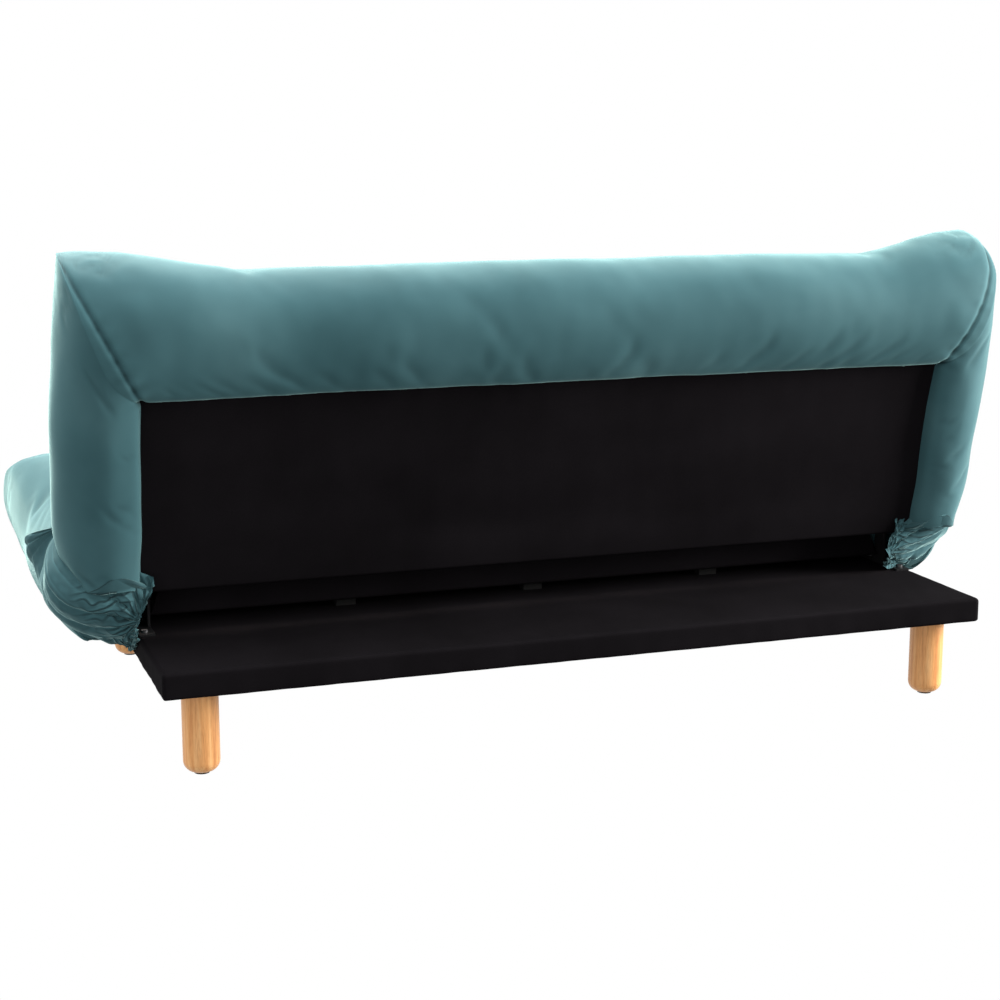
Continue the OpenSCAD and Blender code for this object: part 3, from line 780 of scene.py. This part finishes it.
def gather(side, name, replaced, seed, slack):
    """Loose end of the cover, drawn in by the elastic in its hem, from one half round to the other.

    Angles about the hinge line are 0 to the rear, -90 down and -180 to the front.
    """
    columns, rows = 250, 90
    start, stop = -208, 13
    tight_x, tuck, draw_in, fuller = 0.80, 0.06, 0.085, 1.50
    peak_forward, peak_up = 0.026, 0.105
    degrees, t = np.meshgrid(np.linspace(start, stop, columns), np.linspace(0, 1, rows))
    phi = np.radians(degrees)
    low = smooth((degrees + 172) / 50)[..., None]
    up = smooth((degrees + 34) / 44)[..., None]
    shape = along_profile(SEAT_SIDE, t) * (1 - low) + along_profile(WRAP, t) * low
    shape = shape * (1 - up) + along_profile(BACK_SIDE, t) * up
    x, r = shape[..., 0], shape[..., 1]
    x = tight_x + (x - tight_x) * (0.82 + 0.18 * slack)
    r = r * (0.80 + 0.20 * slack)
    x = x - tuck * (1 - smooth((degrees - start) / 14))
    inward = smooth((degrees + 66) / 22) * (1 - 0.75 * smooth((degrees + 22) / 26)) * t**1.5
    x = x - draw_in * (1 - slack) * inward
    cut = np.stack([side * x, r * np.cos(fuller * phi), r * np.sin(fuller * phi)], -1)
    shift = gather_folds(x, r, degrees, t, start, stop, seed)
    dx, dr = np.gradient(x, axis=0), np.gradient(r, axis=0)
    size = np.hypot(dx, dr) + 1e-9
    x = x + shift * dr / size
    r = r - shift * dx / size
    lift = (1 - t) ** 1.4
    y = HINGE_Y + r * np.cos(phi) - peak_forward * lift
    z = HINGE_Z + r * np.sin(phi) + peak_up * lift
    points = np.stack([side * x, y, z], -1)
    piece = make_mesh(name, points, grid_faces(rows, columns, flip=side < 0))
    held = np.maximum(smooth((0.05 - t) / 0.03), 0.9 * bump_at(t - HEM, 0.02))
    held = np.maximum(held, smooth((start + 6 - degrees) / 4))
    held = np.maximum(held, smooth((degrees - stop + 5) / 4) * smooth((0.85 - t) / 0.1))
    gather_up(piece, held.ravel(), cut, cap=0.020, frames=28, bending=0.3)
    subdivide(piece)
    fine = fine_folds(coordinates(piece), seed, 0.760 + 0.075 * slack, 0.0028 + 0.0014 * slack)
    set_coordinates(piece, coordinates(piece) + normals(piece) * fine[:, None])
    dress(piece, "velvet")
    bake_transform(piece)
    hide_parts(replaced)


gather(1, "gather_right", "end_gather_right", seed=1, slack=1.0)
gather(-1, "gather_left", "end_gather_left", seed=2, slack=0.15)


# ---- camera and light ----

CAMERA_PLACE = (1.3631, 3.8296, 1.1820)
CAMERA_DOWN, CAMERA_ROUND = 11.30, 19.36
SENSOR_WIDTH, FOCAL_LENGTH = 36, 69.87


def add_camera():
    """The camera behind the sofa, a little above it and round towards its right end."""
    data = bpy.data.cameras.new("camera")
    data.sensor_width = SENSOR_WIDTH
    data.lens = FOCAL_LENGTH
    camera = bpy.data.objects.new("camera", data)
    bpy.context.scene.collection.objects.link(camera)
    camera.location = CAMERA_PLACE
    camera.rotation_euler = (math.radians(90 - CAMERA_DOWN), 0, math.radians(180 - CAMERA_ROUND))
    bpy.context.scene.camera = camera


def add_area(name, place, target, size, power, colour=(1, 1, 1)):
    data = bpy.data.lights.new(name, "AREA")
    data.shape = "RECTANGLE"
    data.size, data.size_y = size
    data.energy = power
    data.color = colour
    light = bpy.data.objects.new(name, data)
    bpy.context.scene.collection.objects.link(light)
    light.location = place
    light.rotation_euler = (Vector(target) - Vector(place)).to_track_quat("-Z", "Y").to_euler()


def map_node(nodes, links, source, low_high, to_low_high):
    node = nodes.new("ShaderNodeMapRange")
    node.inputs["From Min"].default_value, node.inputs["From Max"].default_value = low_high
    node.inputs["To Min"].default_value, node.inputs["To Max"].default_value = to_low_high
    links.new(source, node.inputs["Value"])
    return node


def add_world():
    """White backdrop on the far side of the sofa from the camera, softer light from everywhere else."""
    world = bpy.data.worlds.new("world")
    bpy.context.scene.world = world
    world.use_nodes = True
    nodes, links = world.node_tree.nodes, world.node_tree.links
    place = nodes.new("ShaderNodeTexCoord")
    split = nodes.new("ShaderNodeSeparateXYZ")
    links.new(place.outputs["Generated"], split.inputs["Vector"])
    soft = map_node(nodes, links, split.outputs["Z"], (-0.35, 0.60), (0.37, 0.88))
    backdrop = map_node(nodes, links, split.outputs["Y"], (-0.62, 0.0), (1.0, 0.0))
    both = nodes.new("ShaderNodeMix")
    both.data_type = "FLOAT"
    both.inputs["B"].default_value = 1.0
    links.new(backdrop.outputs["Result"], both.inputs["Factor"])
    links.new(soft.outputs["Result"], both.inputs["A"])
    links.new(both.outputs["Result"], nodes["Background"].inputs["Strength"])
    nodes["Background"].inputs["Color"].default_value = (1, 1, 1, 1)


bpy.context.scene.view_settings.view_transform = "Standard"
add_camera()
add_world()
add_area("above", (0.7, -0.6, 3.2), (0, 0.1, 0.6), (3.5, 1.6), 165)
add_area("near_end", (3.4, -1.0, 1.7), (0.7, 0.1, 0.5), (1.6, 2.2), 12)
add_area("far_rear", (-3.5, 1.3, 1.5), (0.0, 0.2, 0.6), (1.8, 2.2), 315, (1.0, 0.98, 0.95))
add_area("low_rear", (2.5, 2.7, 0.4), (0.3, 0.2, 0.5), (2.0, 0.8), 13)
add_area("key", (1.5, -3.3, 4.6), (0.6, -0.4, 0.4), (1.8, 1.8), 520, (1.0, 0.84, 0.75))
